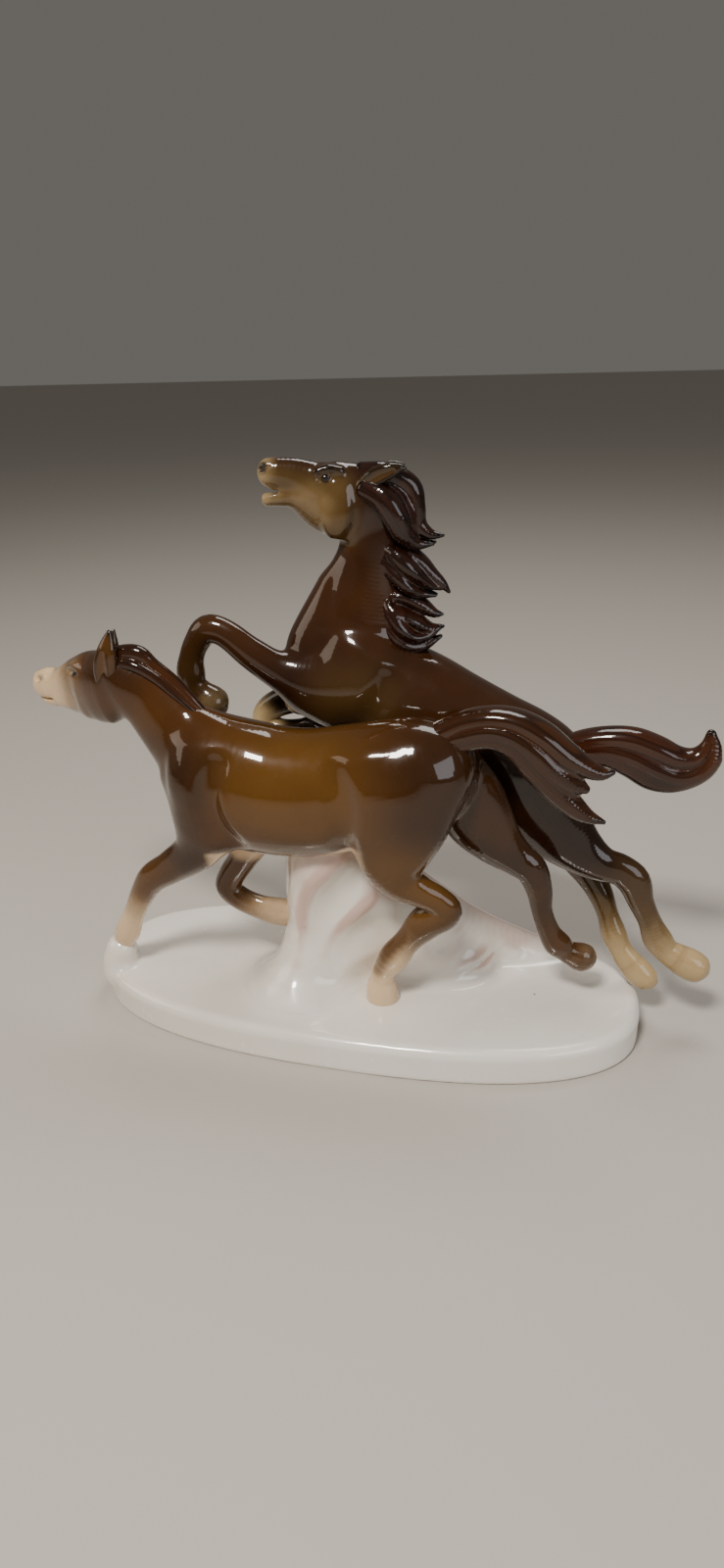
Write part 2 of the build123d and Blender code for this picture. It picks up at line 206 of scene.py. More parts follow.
def model_mare():
    clay = Clay((-134, -42, 10), (96, 16, 156), VOXEL)
    y = MARE_Y
    # barrel, from breast to buttock
    clay.add([
        (-54, y, 99.5, 6, 9.5), (-50.8, y, 98, 11.5, 16.5), (-47, y, 96.8, 16, 23.3), (-37, y, 97, 18, 24),
        (-24, y, 95.5, 18.5, 23.5), (-10, y, 96, 18, 23), (4, y, 100, 16.5, 21.5),
        (17, y, 104, 16, 20), (27, y, 107, 15, 18.5), (33, y, 109.5, 12, 15), (37, y, 111, 8, 10),
    ])
    # neck
    clay.add([
        (-46, y, 103, 11, 17), (-54, y, 110, 9, 15.5), (-61, y, 117, 7.5, 13),
        (-68, y, 125, 6.3, 11), (-74, y, 131, 6, 10), (-78, y, 134, 5, 8.6),
    ], blend=7)
    # shoulder, upper arm, breast muscle, haunch and flank on each side
    for side in (-1, 1):
        clay.add([(-48, y + 8 * side, 112, 4, 8), (-49.5, y + 11 * side, 102, 5, 8.5),
                  (-49.5, y + 10.5 * side, 92, 5, 7)], blend=5)
        clay.add([(-41, y + 12.6 * side, 95, 4.4, 9), (-47, y + 11 * side, 84, 4.4, 8)], blend=6)
        clay.add([(-58, y + 5 * side, 101, 4, 6), (-53.5, y + 6.5 * side, 91, 5, 6.5)], blend=4)
        clay.add([(10, y + 9 * side, 112, 6, 10), (13, y + 11 * side, 102, 7, 14),
                  (15, y + 10 * side, 92, 7, 14)], blend=5)
    for stations in MARE_LEGS.values():
        clay.add(stations, blend=5)
    # grooves behind the shoulder and in front of the haunch
    for side in (-1, 1):
        clay.carve([(-40, y + 16.5 * side, 111, 3.4, 3.4), (-42.6, y + 19.3 * side, 101, 4, 4),
                    (-41, y + 19 * side, 90, 4, 4), (-36, y + 15.5 * side, 80, 3, 3)], blend=4)
        clay.carve([(0, y + 18.4 * side, 112, 4, 4), (4, y + 20.2 * side, 102, 4.6, 4.6),
                    (4, y + 19.4 * side, 92, 4, 4), (3, y + 15 * side, 82, 3, 3)], blend=4)
    # head: skull to muzzle, jowls, lower jaw and chin
    clay.add([
        (-78, -16.5, 133.5, 6, 11), (-85, -12.8, 130.4, 6.7, 12.2), (-91.5, -9.5, 129, 6.3, 12),
        (-99, -5.8, 127.2, 5.4, 10.2), (-106, -1.8, 125, 4.8, 8.3), (-113, 2.4, 122.9, 4.5, 6.9),
        (-119.5, 5.6, 121.9, 4.7, 7), (-123.8, 7.4, 121.3, 4.2, 6),
    ], blend=4)
    clay.add([(-95, -11, 125, 2.6, 6.4), (-89.5, -14, 125.2, 3.2, 8.2),
              (-84.5, -16.4, 126, 3.2, 8.6)], blend=5)
    clay.add([(-91.5, -4.6, 125, 2.6, 6.4), (-86, -7.6, 125.2, 3, 8), (-81, -9.8, 126, 3, 8.4)], blend=5)
    clay.add([(-112, 1.2, 118, 2.6, 2.4), (-103, -4, 119, 3.2, 3.2), (-94, -8.6, 120, 4, 4)], blend=4)
    clay.add([(-121, 6.4, 115.8, 2.6, 2), (-116, 4.2, 116, 2.6, 1.8)], blend=2)
    # brows, eyes, nostrils and mouth
    clay.add([(-101, -9.4, 135, 0.9, 0.8), (-97.4, -11.6, 136, 1.1, 1),
              (-94, -13, 135, 0.8, 0.8)], blend=2.4)
    clay.add([(-98, -1.6, 135, 0.9, 0.8), (-94.4, -3.6, 136, 1.1, 1),
              (-91, -4.8, 135, 0.8, 0.8)], blend=2.4)
    clay.carve([(-100.2, -10.7, 133.5, 0.6, 0.55), (-95.9, -12.8, 133.7, 0.6, 0.55)], blend=1.6)
    clay.add([(-98.6, -10.6, 133.6, 0.9, 0.75), (-97.4, -11.2, 133.7, 0.9, 0.75)], blend=0.9)
    clay.carve([(-124.2, 3.4, 124.6, 0.8, 0.9), (-121.2, 1.9, 125.8, 0.9, 1.1)], blend=0.8)
    clay.carve([(-126.6, 9.8, 124.6, 0.8, 0.9), (-123, 10.9, 125.8, 0.9, 1.1)], blend=0.8)
    clay.carve([(-129.5, 9.6, 118.2, 3, 0.45), (-124, 4.4, 117.2, 3, 0.45), (-116.5, 0.4, 118, 1.8, 0.35)],
               blend=0.6)
    return clay


# hair, as strands from root to tip
MARE_MANE = (
    [(-80, -17, 142.4, 2, 2.4), (-74.5, -16.8, 143.4, 2.7, 2.9), (-69.5, -16.6, 142.8, 2.6, 3.1),
     (-65.5, -16.4, 139.6, 2, 2.5), (-58.5, -16.3, 134, 1.8, 2.3), (-52.3, -16.2, 127.2, 1.6, 2),
     (-47, -16, 121.8, 1, 1)],
    [(-78, -19, 140.4, 1.6, 2), (-71, -19.4, 139.6, 1.7, 2), (-64, -19, 135.8, 1.6, 1.7),
     (-57, -18.6, 129.8, 1.5, 1.5), (-51, -18, 124, 1.2, 1.2), (-47, -17.4, 120.8, 0.7, 0.7)],
    [(-78, -14, 140.4, 1.6, 2), (-71, -13.4, 139.6, 1.7, 2), (-64, -13.4, 135.8, 1.6, 1.7),
     (-57, -13.8, 129.8, 1.5, 1.5), (-51, -14.2, 124, 1.2, 1.2), (-47, -14.8, 120.8, 0.7, 0.7)],
)


# ---------------- the stallion

STALLION_LEGS = {
    "stallion_left_foreleg": [
        (4, 14, 120, 5, 7), (-6, 10.6, 122.5, 6.4, 9.5), (-16, 7.6, 126, 6.5, 9.8),
        (-26, 6.3, 130.3, 5, 7.2), (-38, 5.5, 138, 4.2, 6), (-47.5, 5.5, 145, 4.2, 5.2),
        (-53.6, 5.5, 146, 4.5, 5.2), (-58.3, 5.5, 141, 4, 4.6), (-60.8, 5.5, 135.5, 3.8, 4.6),
        (-61.8, 5.6, 129.6, 4.1, 5.4), (-61, 5.8, 125, 3.8, 4.8), (-58.6, 6.1, 121, 4.6, 5.8),
        (-55, 6.4, 117.6, 5.6, 7), (-53.8, 6.5, 116.6, 4.4, 5.4),
    ],
    "stallion_right_foreleg": [
        (-8, 24, 121, 7, 10), (-20, 26.5, 118, 6, 8), (-33, 27, 113.5, 4.8, 5.8), (-41, 27, 109, 4.6, 5),
        (-42.5, 26.6, 103.6, 4.2, 4.8), (-36, 26.2, 101.6, 3.5, 4.2), (-28, 25.8, 102.6, 3.3, 3.8),
        (-21.5, 25.4, 103.8, 3.9, 4.4), (-17.4, 25.2, 99.6, 4.2, 4.4), (-15.8, 25, 94.6, 4.8, 5),
    ],
    "stallion_left_hindleg": [
        (58, 9, 96, 8, 13), (63.5, 8.5, 87, 8.4, 14.5), (72, 8, 77, 7.4, 12.5),
        (80, 8, 69.7, 6, 9.2), (87.5, 7.6, 65.5, 4.9, 6.7), (94, 7.5, 63.9, 4.3, 6),
        (98.8, 7.5, 60, 4.3, 6), (102, 7.5, 52, 3.6, 4.7), (105.7, 7.6, 44.2, 3.3, 4.2),
        (109.2, 7.9, 36.6, 4, 5.3), (112.6, 8, 32.2, 3.7, 4.8), (116, 8, 29.9, 4.1, 5.4),
        (120.4, 8, 27.6, 4.8, 6.1), (123.4, 8, 26, 4.8, 5.8), (124.7, 8, 25.2, 3.6, 4.4),
    ],
    "stallion_right_hindleg": [
        (60, 24.5, 94, 6.5, 11), (65.5, 24.5, 81, 6.5, 11.5), (72, 23, 70, 5.8, 9),
        (78.5, 20.5, 60.5, 4.8, 6.8), (84, 18.4, 54, 4.2, 5.5), (88, 16.6, 48, 3.7, 4.7),
        (91.2, 15, 40.5, 3.2, 4), (93.9, 13.6, 33.2, 3.8, 4.8), (96.6, 12.6, 28, 3.4, 4.3),
        (99.6, 11.8, 23.8, 3.8, 4.8), (103.4, 11, 20, 4.5, 5.4), (106.2, 10.6, 17.6, 4.5, 5),
        (107.6, 10.4, 16.4, 3.4, 3.8),
    ],
}


def model_stallion():
    clay = Clay((-72, -4, 10), (132, 42, 212), VOXEL)
    y = STALLION_Y
    # barrel, from chest to buttock
    clay.add([
        (-20, y, 126.5, 5, 7), (-16, y, 127, 9, 13), (-9, y, 127, 12.5, 17), (3, y, 124.5, 15, 19.5),
        (17, y, 118.5, 16, 20.8), (31, y, 111, 16, 20.8), (45.5, y, 104.5, 15.5, 20),
        (58, y, 99.5, 15, 19), (67, y, 96, 12, 16), (72, y, 94.5, 7, 10),
    ])
    # neck, its throat side and the breast
    clay.add([
        (-4, y, 127, 11.5, 19), (-4.5, y, 138, 10.3, 18.6), (-2.5, y, 148, 9, 16.8),
        (-0.5, y, 158, 8, 14.2), (2.5, y, 169.5, 7, 11), (3.5, y, 180, 6.6, 9.6), (3.5, y, 189, 6.2, 8.4),
    ], blend=7)
    clay.add([(-8, y, 158, 5, 7), (-14, y - 1, 147, 6.5, 8.5), (-19, y - 2, 138, 7.5, 8.5),
              (-20, y - 2, 128, 7.5, 8)], blend=6)
    clay.add([(-23.5, y - 5, 129, 6, 7), (-23, y - 4, 120, 6.4, 6.4)], blend=5)
    # shoulder, chest muscle and haunch on each side
    for side in (-1, 1):
        clay.add([(3, y + 9 * side, 138, 4, 10), (-4, y + 11 * side, 127, 5, 10),
                  (-12, y + 9 * side, 119, 5.5, 8.5)], blend=6)
        clay.add([(-17, y + 5 * side, 131, 4, 8), (-18, y + 5.5 * side, 122, 5, 7)], blend=5)
        clay.add([(46, y + 8 * side, 108, 6, 11), (54, y + 9 * side, 98, 7, 13),
                  (62, y + 8 * side, 88, 6.5, 11)], blend=5)
    for stations in STALLION_LEGS.values():
        clay.add(stations, blend=5)
    # grooves behind the shoulder and in front of the haunch
    for side in (-1, 1):
        clay.carve([(13, y + 17 * side, 132, 3, 3), (9, y + 20.4 * side, 124, 3.8, 3.8),
                    (4, y + 19.8 * side, 114, 3.2, 3.2)], blend=5)
        clay.carve([(38, y + 16.5 * side, 116, 4, 4), (41, y + 18.6 * side, 106, 4.4, 4.4),
                    (43, y + 17.4 * side, 96, 4, 4)], blend=4)
    # head: skull to muzzle, open lower jaw and jowls
    clay.add([
        (8, 17.2, 191, 5.4, 9.2), (3, 16.2, 189.8, 6.2, 11), (-3, 14.8, 189.4, 6.5, 12),
        (-8.5, 13.4, 190.2, 6.1, 12), (-13.5, 12, 192.6, 5.4, 10.2), (-19, 10.4, 196.6, 4.6, 6.9),
        (-25, 8.6, 198.7, 4.2, 5.1), (-27.6, 7.8, 199, 3.9, 4.6),
    ], blend=3)
    clay.add([(-12, 12.5, 187.4, 4.2, 4.8), (-19, 10.4, 191, 3.8, 3.8), (-25, 8.6, 191, 3, 2.9),
              (-28.4, 7.7, 190.6, 2.6, 2.4)], blend=2)
    for side, shift in ((-1, 0), (1, 3)):
        clay.add([(-8 - shift, 13 + 3.4 * side, 184.6, 3, 7),
                  (-3 - shift, 14.4 + 3.8 * side, 185, 3, 8)], blend=2.4)
    # brow, eyes and nostrils
    clay.add([(-11, 8, 199.4, 0.9, 0.8), (-7.6, 8.8, 200.2, 1.1, 1), (-4, 10, 199.4, 0.8, 0.8)], blend=2.4)
    clay.carve([(-10.4, 7, 197.2, 0.6, 0.55), (-6.4, 8, 197.3, 0.6, 0.55)], blend=1.6)
    clay.add([(-9, 8.2, 197.2, 0.9, 0.75), (-8, 8.5, 197.3, 0.9, 0.75)], blend=0.9)
    clay.carve([(-13.8, 18.5, 197.2, 0.6, 0.55), (-9.8, 19.7, 197.3, 0.6, 0.55)], blend=1.6)
    clay.add([(-12.3, 17.4, 197.2, 0.9, 0.75), (-11.2, 17.8, 197.3, 0.9, 0.75)], blend=0.9)
    clay.carve([(-31.2, 4.8, 199.8, 0.7, 0.6), (-28.8, 4.4, 200.7, 0.9, 0.8),
                (-26.4, 4.4, 201.5, 0.5, 0.5)], blend=0.6)
    clay.carve([(-31.4, 9.6, 199.8, 0.7, 0.6), (-30, 10.7, 200.7, 0.9, 0.8),
                (-28, 11.4, 201.5, 0.5, 0.5)], blend=0.6)
    # mouth, the dimple of the bit, the line of the cheek and the furrow down the neck
    clay.carve([(-34, 7, 193.4, 5, 0.9), (-30.4, 7.6, 193.2, 5, 0.5), (-25, 8.8, 193, 5, 0.25)], blend=0.7)
    clay.carve([(-10.4, 4.9, 186.4, 0.7, 0.6), (-8.6, 5.1, 186, 0.7, 0.6)], blend=1)
    clay.carve([(0.8, 8.7, 194, 0.8, 0.8), (1.8, 8.5, 189, 0.9, 0.9), (1, 8.4, 183, 0.9, 0.9),
                (-2.4, 9, 178, 0.8, 0.8)], blend=2.6)
    clay.carve([(-8, 9.4, 172, 1.8, 1.8), (-10, 7.8, 160, 1.8, 1.8), (-11.6, 6, 149, 1.8, 1.8)], blend=3)
    return clay


MARE_TAIL = (
    [(29, -16, 119.5, 4.6, 3.2), (35, -16, 122.8, 5, 3.2), (42, -16, 126.2, 5, 3.2),
     (50, -16, 128, 5.2, 3.2), (58, -16, 127.2, 5.6, 3.4), (66.5, -16, 123, 6, 3.8),
     (74, -16, 116.8, 5.6, 3.8), (80.5, -16, 112.5, 4.2, 3.2), (85, -16, 110.8, 2.6, 2.2),
     (88.4, -16, 111.4, 0.9, 0.9)],
    [(30, -16, 116, 5, 3.6), (36, -16, 119.2, 5.4, 3.4), (42, -16, 122, 5.8, 3.4),
     (50, -16, 124, 6.2, 3.4), (57.5, -16, 122.6, 6.8, 3.8), (65, -16, 117.6, 7.2, 4.6),
     (71.5, -16, 111.4, 6.8, 4.4), (76.6, -16, 107, 4.6, 3.2), (80.4, -16, 105, 1.8, 1.5)],
    [(33, -16, 113, 4.4, 3), (41, -16, 118, 5, 3), (49.5, -16, 120.4, 5.4, 3.2),
     (56.5, -16, 118.6, 6, 3.8), (62.8, -16, 112.8, 6.4, 4.6), (69.5, -16, 106, 6, 4.8),
     (76, -16, 99.6, 4.6, 4), (81.5, -16, 95.6, 2.8, 2.4), (86.8, -16, 93.8, 0.8, 0.8)],
)
STALLION_TAIL = (
    [(68, 17, 104, 4.6, 3.2), (77, 17, 108.6, 4.8, 3.2), (86, 17, 110.4, 5, 3.6),
     (95, 17, 110, 5.2, 4.2), (103, 17, 107.4, 5.4, 4.2), (110, 17, 104.6, 5, 3.6), (115, 17, 105, 4, 3),
     (118.4, 17, 108.4, 2.6, 2.4), (119.4, 17, 114, 1.1, 1.2)],
    [(68, 17, 101, 4.8, 3.2), (77, 17, 105, 5.2, 3.2), (86, 17, 106.2, 5.6, 3.6), (95, 17, 104.4, 6, 4.4),
     (103, 17, 100.8, 6.4, 5), (110, 17, 98.6, 6, 4.4), (116, 17, 99.6, 5, 4), (120.4, 17, 103.8, 3.4, 3.4),
     (121.6, 17, 109, 1.8, 2), (120.4, 17, 113.4, 0.8, 0.8)],
    [(78, 17, 102.4, 4.6, 2.6), (86, 17, 102.6, 5, 3), (94, 17, 99.8, 5.4, 3.6), (101, 17, 96, 5.4, 3.8),
     (107.5, 17, 94.4, 4.8, 3), (113.4, 17, 95.6, 4, 2.6), (119, 17, 99.4, 2.8, 2.2),
     (122.4, 17, 104, 1, 1)],
)


def both_sides(strand):
    """A strand and its mirror image across the stallion's middle plane."""
    mirrored = [(x, 2 * STALLION_Y - y, z, wide, deep) for x, y, z, wide, deep in strand]
    return [strand, mirrored]


STALLION_LOCKS = {
    "stallion_upper_mane": [
        [(3, 17, 195, 6, 5), (10, 17, 191, 7, 6.6), (14, 17, 184.6, 7, 6.4), (16.6, 17, 178.5, 5, 4.2)],
        [(2, 15, 199, 2.6, 2.6), (10, 15, 198, 3.6, 3.4), (17.4, 16.4, 193.6, 3.4, 3.8),
         (19, 16.6, 187, 3, 3.6), (20, 17, 181.4, 2.6, 3), (24, 17, 178.2, 1.9, 1.9),
         (28.4, 17, 177.9, 0.6, 0.6)],
        *both_sides([(3, 10.6, 193.6, 2, 3), (9.5, 9.4, 190.8, 2.8, 4),
                     (13.6, 9.8, 185, 3, 4.2), (16, 11.4, 179, 2.7, 3.2),
                     (20, 13.8, 175.6, 1.8, 2), (25.4, 15.2, 175.4, 0.6, 0.6)]),
    ],
    "stallion_middle_mane": [
        [(9, 17, 169, 6, 7), (14.5, 17, 166, 6, 6), (18.5, 17, 161.6, 4.4, 3.4)],
        [(9, 17, 174, 4.6, 3.4), (15, 17, 172.6, 4.8, 3.2), (20.4, 17, 169.2, 3.8, 2.9),
         (24.4, 17, 165, 2.8, 2.5), (28, 17, 162, 1.7, 1.7), (30.4, 17, 159.2, 0.7, 0.7)],
        *both_sides([(8, 14.4, 175, 1.2, 1.4), (14, 11.6, 171.6, 2.4, 2.7), (18.6, 11.8, 167, 2.6, 2.7),
                     (23.4, 14.4, 162.4, 1.9, 1.8), (27.6, 16, 160.4, 0.7, 0.7)]),
        *both_sides([(8, 14.6, 169, 1.2, 1.4), (13.6, 12, 165.4, 2.3, 2.5), (17.6, 12.4, 161, 2.2, 2.2),
                     (21.6, 14.6, 158.8, 1.5, 1.5), (26, 16, 158, 0.6, 0.6)]),
    ],
    "stallion_lower_mane": [
        [(9, 17, 150, 6, 8), (14.5, 17, 146.4, 6, 7), (18.6, 17, 143, 5, 4)],
        [(9, 17, 157.6, 4.6, 3.2), (15, 17, 157.4, 4.8, 2.9), (20.8, 17, 154.6, 3.6, 2.7),
         (25.4, 17, 151.7, 1.9, 1.7), (28.2, 17, 151.4, 0.6, 0.6)],
        [(13, 15, 152.6, 5.4, 2.6), (19, 15.6, 149.6, 4.8, 2.6), (24, 16.4, 146.6, 3, 2),
         (28.4, 17, 147.2, 0.7, 0.7)],
        *both_sides([(8, 14, 158, 1.2, 1.4), (12, 11.4, 152.6, 2.3, 2.6),
                     (15.2, 10.8, 147.4, 2.6, 2.6), (19.6, 12.4, 144, 2.2, 2),
                     (24.6, 14.6, 144.8, 1.3, 1.3), (27.4, 16, 147, 0.6, 0.6)]),
        *both_sides([(8.6, 14, 151, 1.2, 1.6), (12.4, 12.2, 145, 2.4, 2.7), (16.6, 12.6, 141, 2.4, 2.2),
                     (22, 14.4, 140.6, 1.8, 1.7), (27.6, 16.4, 143.6, 0.7, 0.7)]),
    ],
}

EARS = {
    "mare_left_ear": [[
        (-82.4, -17, 127, 1.6, 2.6), (-82, -18.4, 130.5, 2.1, 3.5), (-81.6, -19.8, 134.6, 2.4, 4.2),
        (-80.6, -20.8, 139.4, 2.5, 4.4), (-79.4, -20.9, 144.4, 2.2, 3.6), (-78.4, -20.4, 148.6, 1.5, 2.2),
        (-77.8, -20, 151.2, 0.9, 1),
    ]],
    "mare_right_ear": [[
        (-83.4, -11, 132, 1.7, 2.4), (-83.8, -9.6, 139, 1.9, 2.8), (-83.4, -9, 144, 1.6, 2.2),
        (-82.4, -8.6, 148.6, 0.5, 0.5),
    ]],
    "stallion_left_ear": [[
        (0, 12.4, 193, 1.7, 2.2), (3, 11.4, 194.6, 1.8, 2.6), (7, 10.3, 197, 2, 3.1),
        (11.5, 10.3, 199, 1.8, 2.7), (15.4, 10.8, 200, 1.1, 1.4), (17.3, 11, 199.8, 0.5, 0.5),
    ]],
    "stallion_right_ear": [[
        (-1, 19.8, 194.8, 1.7, 2.2), (3, 21, 196.6, 1.8, 2.6), (7, 21.8, 198.2, 1.8, 2.6),
        (11, 22.6, 199.4, 1.3, 1.7), (14, 23, 199.6, 0.6, 0.6),
    ]],
}
EAR_HOLLOWS = {
    "mare_left_ear": [
        (-83, -21.6, 131.6, 1, 1.4), (-82, -23.2, 137, 1.5, 2.5), (-81, -23.6, 141, 1.3, 2),
        (-80.2, -23.2, 144.4, 0.7, 0.9),
    ],
    "mare_right_ear": [
        (-85, -8, 135.5, 1, 1.3), (-85, -7.2, 141, 1.1, 1.6), (-83.8, -7, 145.6, 0.7, 0.9),
    ],
    "stallion_left_ear": [
        (3, 9, 194.6, 1, 1.3), (8.4, 8, 197.6, 1.3, 1.9), (13.6, 8.8, 199.4, 0.7, 1),
    ],
    "stallion_right_ear": [
        (2.6, 23, 196.4, 1, 1.3), (7.4, 24.2, 198.6, 1.2, 1.6), (11, 24.3, 199.6, 0.6, 0.8),
    ],
}

SEPARATE = {
    "mare_mane": MARE_MANE,
    "mare_tail": MARE_TAIL,
    "stallion_tail": STALLION_TAIL,
    **STALLION_LOCKS,
    **EARS,
}
TAIL_BLEND = 2.2    # strands of a tail run together more than those of a lock
LOCK_BLEND = 0.9


def model_strands(piece):
    """Hair or an ear, modelled as strands of clay pressed together, with a hollow if it has one."""
    strands = SEPARATE[piece]
    points = np.array([station for strand in strands for station in strand], float)
    reach = points[:, 3:5].max() + 3
    clay = Clay(points[:, :3].min(0) - reach, points[:, :3].max(0) + reach, LOCK_VOXEL)
    for strand in strands:
        clay.add(strand, blend=TAIL_BLEND if piece.endswith("tail") else LOCK_BLEND)
    if piece in EAR_HOLLOWS:
        clay.carve(EAR_HOLLOWS[piece], blend=0.7)
    return clay


# ---------------- plinth, stump and pad

PLINTH_HALF_LENGTH = 105.0
PLINTH_HALF_WIDTH = 44.0
PLINTH_SQUARENESS = 2.44    # exponent of the oval, 2 for an ellipse
RIM_ROUND = 3.5
FOOT_RING = 5.0             # width of the ring that the plinth stands on
RECESS = 9.0                # depth of the hollow inside it
SOFT_EDGE = 1.4             # how far the foot ring's edges are rounded
BASE_LOW = (-110, -48, -2)
BASE_HIGH = (110, 48, 84)


def model_base():
    clay = Clay(BASE_LOW, BASE_HIGH, BASE_VOXEL)
    _, (x, y, z) = clay.window(BASE_LOW, BASE_HIGH)
    u = np.abs(x / PLINTH_HALF_LENGTH) + 1e-4
    v = np.abs(y / PLINTH_HALF_WIDTH) + 1e-4
    n = PLINTH_SQUARENESS
    oval = (u**n + v**n)**(1 / n)
    slope = np.hypot((u / oval)**(n - 1) / PLINTH_HALF_LENGTH, (v / oval)**(n - 1) / PLINTH_HALF_WIDTH)
    outside = (oval - 1) / slope
    side = outside + RIM_ROUND
    over = z - PLINTH_TOP + RIM_ROUND
    corner = np.hypot(np.maximum(side, 0), np.maximum(over, 0))
    body = corner - RIM_ROUND + np.minimum(np.maximum(side, over), 0)
    recess = np.maximum(outside + FOOT_RING, z - RECESS)
    under = np.maximum(-z, -recess)
    edge = np.clip(SOFT_EDGE - np.abs(body - under), 0, None)
    clay.field = (np.maximum(body, under) + edge**2 / (4 * SOFT_EDGE)).astype(np.float32)
    # the stump carries both bellies, and flares into the plinth
    clay.add([
        (-7, 2, 81, 18, 12), (-7.6, -1, 72, 20.5, 13.5), (-6, -1.5, 60, 20, 16), (-2.5, 0, 48, 19, 20),
        (0, 3, 37, 17, 24.5), (3, 6, 27, 16, 30), (6, 8, 19, 16, 36), (8, 9, 11, 16, 42),
    ], blend=7)
    clay.add([
        (-11, -7, 62, 12, 12), (-12, -7.4, 50, 11.5, 12), (-13, -7, 37, 11, 11.8), (-15.2, -8, 27, 12, 13),
        (-18, -9.6, 18, 14.5, 14), (-20, -11.4, 9, 18, 17),
    ], blend=13)
    clay.add([
        (16, 8, 42, 10, 14), (33, 14, 30, 9, 11), (47, 20, 22, 8, 8), (60, 25, 16.5, 7, 5.5),
        (73, 28, 12, 5, 3.4),
    ], blend=7)
    # soft folds sweep down its face, and one down its back
    clay.carve([(20, -20, 74, 7, 7), (11, -23.6, 67, 9, 9), (1, -25.6, 58, 9.6, 9.6),
                (-6, -26.4, 48, 9.6, 9.6), (-10, -27.4, 37, 8.6, 8.6), (-13, -29.6, 27, 6, 6)], blend=5)
    clay.carve([(40, -10, 56, 8.6, 8.6), (29, -17, 51, 10.4, 10.4), (16, -20.6, 43, 11, 11),
                (4, -23, 34, 10, 10), (-4, -27, 25, 7, 7)], blend=5)
    clay.carve([(46, -2, 40, 5.6, 5.6), (34, -7, 31, 5, 5)], blend=4)
    clay.carve([(20, 24, 60, 5, 5), (4, 24.4, 44, 5, 5), (-12, 24.6, 30, 4.5, 4.5)], blend=4)
    # lump that carries the mare's left fore hoof, lapping over the rim
    clay.add([(-94.6, -15, 20.4, 6.2, 6), (-96.4, -14.6, 15, 7, 6.6),
              (-97.8, -13.8, 10, 7.4, 5.8)], blend=4)
    # the underside stays open inside the foot ring, and a vent runs up from it
    clay.field = np.maximum(clay.field, under).astype(np.float32)
    clay.carve([(-3, 0, 4, 2, 2), (-3, 0, 24, 2, 2)], blend=0.6)
    return clay


# ---------------- cutting at the seats

def smoothstep(low, high, value):
    t = np.clip((value - low) / (high - low), 0, 1)
    return t * t * (3 - 2 * t)


SHARPEST_BEND = 1.2     # 1/mm, past which a crease counts no more
BEND_PASSES = 5


def bend_of(points, pairs, normals):
    """How convex the surface is at each point, in 1/mm, smoothed a little."""
    first, second = pairs[:, 0], pairs[:, 1]
    gap = points[second] - points[first]
    bend = ((normals[second] - normals[first]) * gap).sum(1) / np.maximum((gap**2).sum(1), 1e-9)
    bend = np.clip(bend, -SHARPEST_BEND, SHARPEST_BEND)
    count = len(points)
    share = np.bincount(first, minlength=count) + np.bincount(second, minlength=count)
    share = np.maximum(share, 1)
    value = (np.bincount(first, bend, count) + np.bincount(second, bend, count)) / share
    for _ in range(BEND_PASSES):
        value = 0.5 * value + 0.5 * (np.bincount(first, value[second], count)
                                     + np.bincount(second, value[first], count)) / share
    return value


def cut_seats(bm, cuts):
    """Cuts the faces near each seat along the seat's plane, and marks the cut with seams."""
    for seat, direction, radius, _ in cuts.values():
        seat = Vector(seat) * MM
        close = [f for f in bm.faces if (f.calc_center_median() - seat).length < radius * MM]
        touched = set(close)
        for face in close:
            touched.update(face.verts)
            touched.update(face.edges)
        cut = bmesh.ops.bisect_plane(bm, geom=list(touched), dist=1e-8, plane_co=seat, plane_no=direction)
        for item in cut["geom_cut"]:
            if isinstance(item, bmesh.types.BMEdge):
                item.seam = True


def owners_of(bm, cuts, rest):
    """The piece that each face belongs to, spreading from each piece's seed as far as the seams."""
    bm.faces.ensure_lookup_table()
    bm.faces.index_update()
    owner = [rest] * len(bm.faces)
    centres = np.array([f.calc_center_median() for f in bm.faces])
    for piece, (_, _, _, seed) in cuts.items():
        start = int(((centres - np.array(seed) * MM)**2).sum(1).argmin())
        owner[start] = piece
        waiting = [bm.faces[start]]
        while waiting:
            for edge in waiting.pop().edges:
                if not edge.seam:
                    for face in edge.link_faces:
                        if owner[face.index] != piece:
                            owner[face.index] = piece
                            waiting.append(face)
    return owner


def caps_of(faces):
    """The rings of seam edges that bound a group of faces, each as the corners of a cap."""
    onward = {}
    for face in faces:
        for loop in face.loops:
            if loop.edge.seam:
                onward[loop.link_loop_next.vert.index] = loop.vert.index
    caps = []
    while onward:
        start = next(iter(onward))
        ring = [start]
        while ring[-1] in onward:
            step = onward.pop(ring[-1])
            if step == start:
                break
            ring.append(step)
        if len(ring) > 2:
            caps.append(ring)
    return caps


